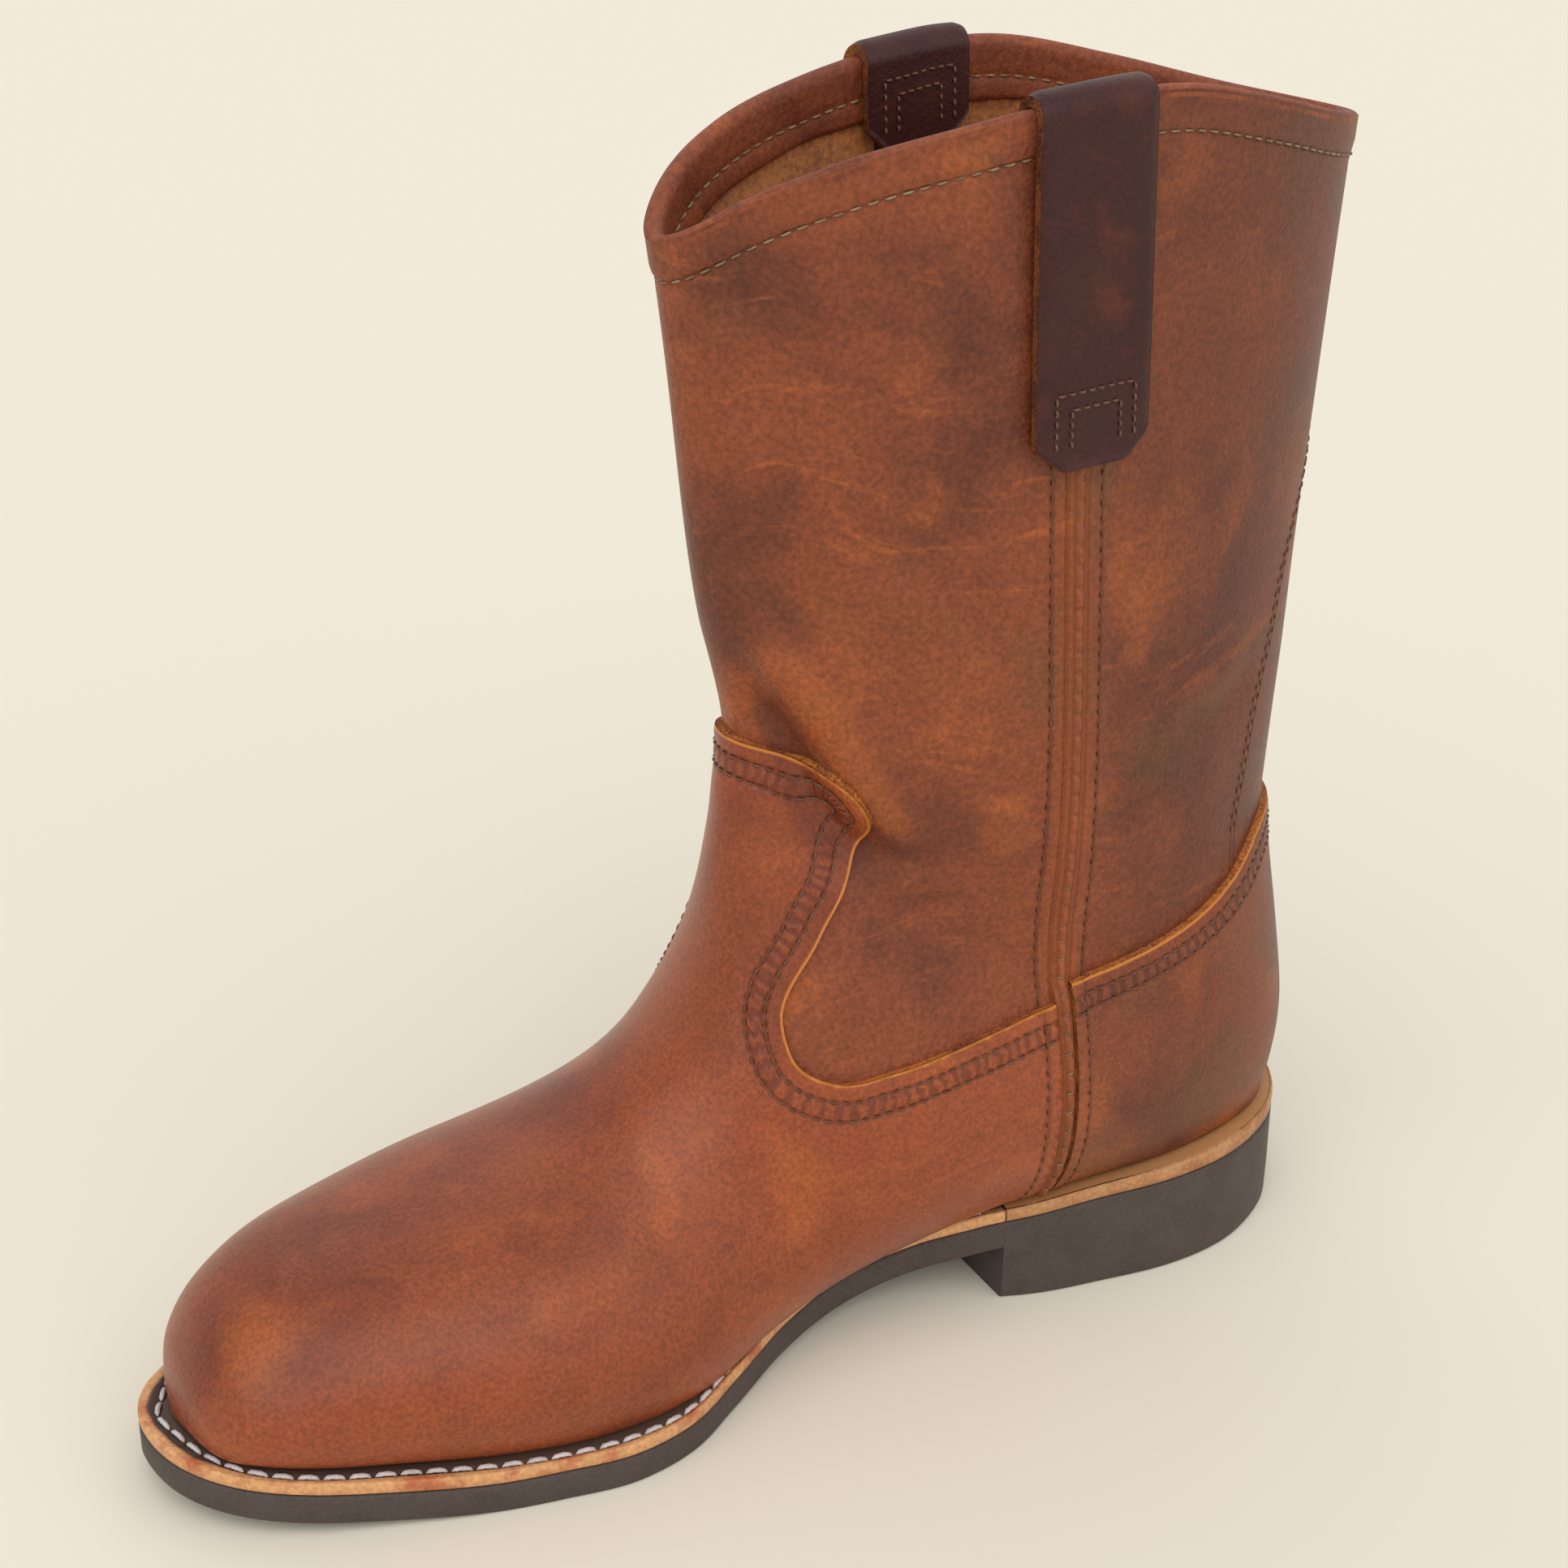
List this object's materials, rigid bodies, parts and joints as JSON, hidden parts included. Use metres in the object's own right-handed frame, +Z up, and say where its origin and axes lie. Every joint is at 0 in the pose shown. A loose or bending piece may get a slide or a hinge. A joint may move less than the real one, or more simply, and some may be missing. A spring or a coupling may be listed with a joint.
{
  "type": "western work boot",
  "caption": "Pull-on leather work boot with a scalloped collar, raised side seams, tongued vamp, heel counter, pull straps and a stitched welt on a rubber sole with a low block heel.",
  "frame": {"origin": "on the floor under the middle of the heel tread", "axes": "+X towards the toe, +Y towards the inner side of the foot, +Z up"},
  "size_m": [0.306, 0.1055, 0.2986],
  "materials": {
    "rubber": "matt dark brown",
    "welt_leather": "natural tan, edge burnished",
    "insole_leather": "smooth board",
    "shaft_leather": "oiled pull-up, mottled brown",
    "foot_leather": "oiled pull-up, burnished brown",
    "strap_leather": "dark brown, raw tan edges",
    "facing_leather": "smooth brown lining"
  },
  "bodies": {
    "root": {"outsole": "rubber", "welt": "welt_leather", "heel_rand": "welt_leather", "insole": "insole_leather", "upper": "shaft_leather", "vamp": "foot_leather", "counter": "foot_leather", "side_seam_medial": "foot_leather", "side_seam_lateral": "foot_leather", "pull_strap_medial": "strap_leather", "pull_strap_lateral": "strap_leather", "collar_facing": "facing_leather"}
  },
  "joints": []
}
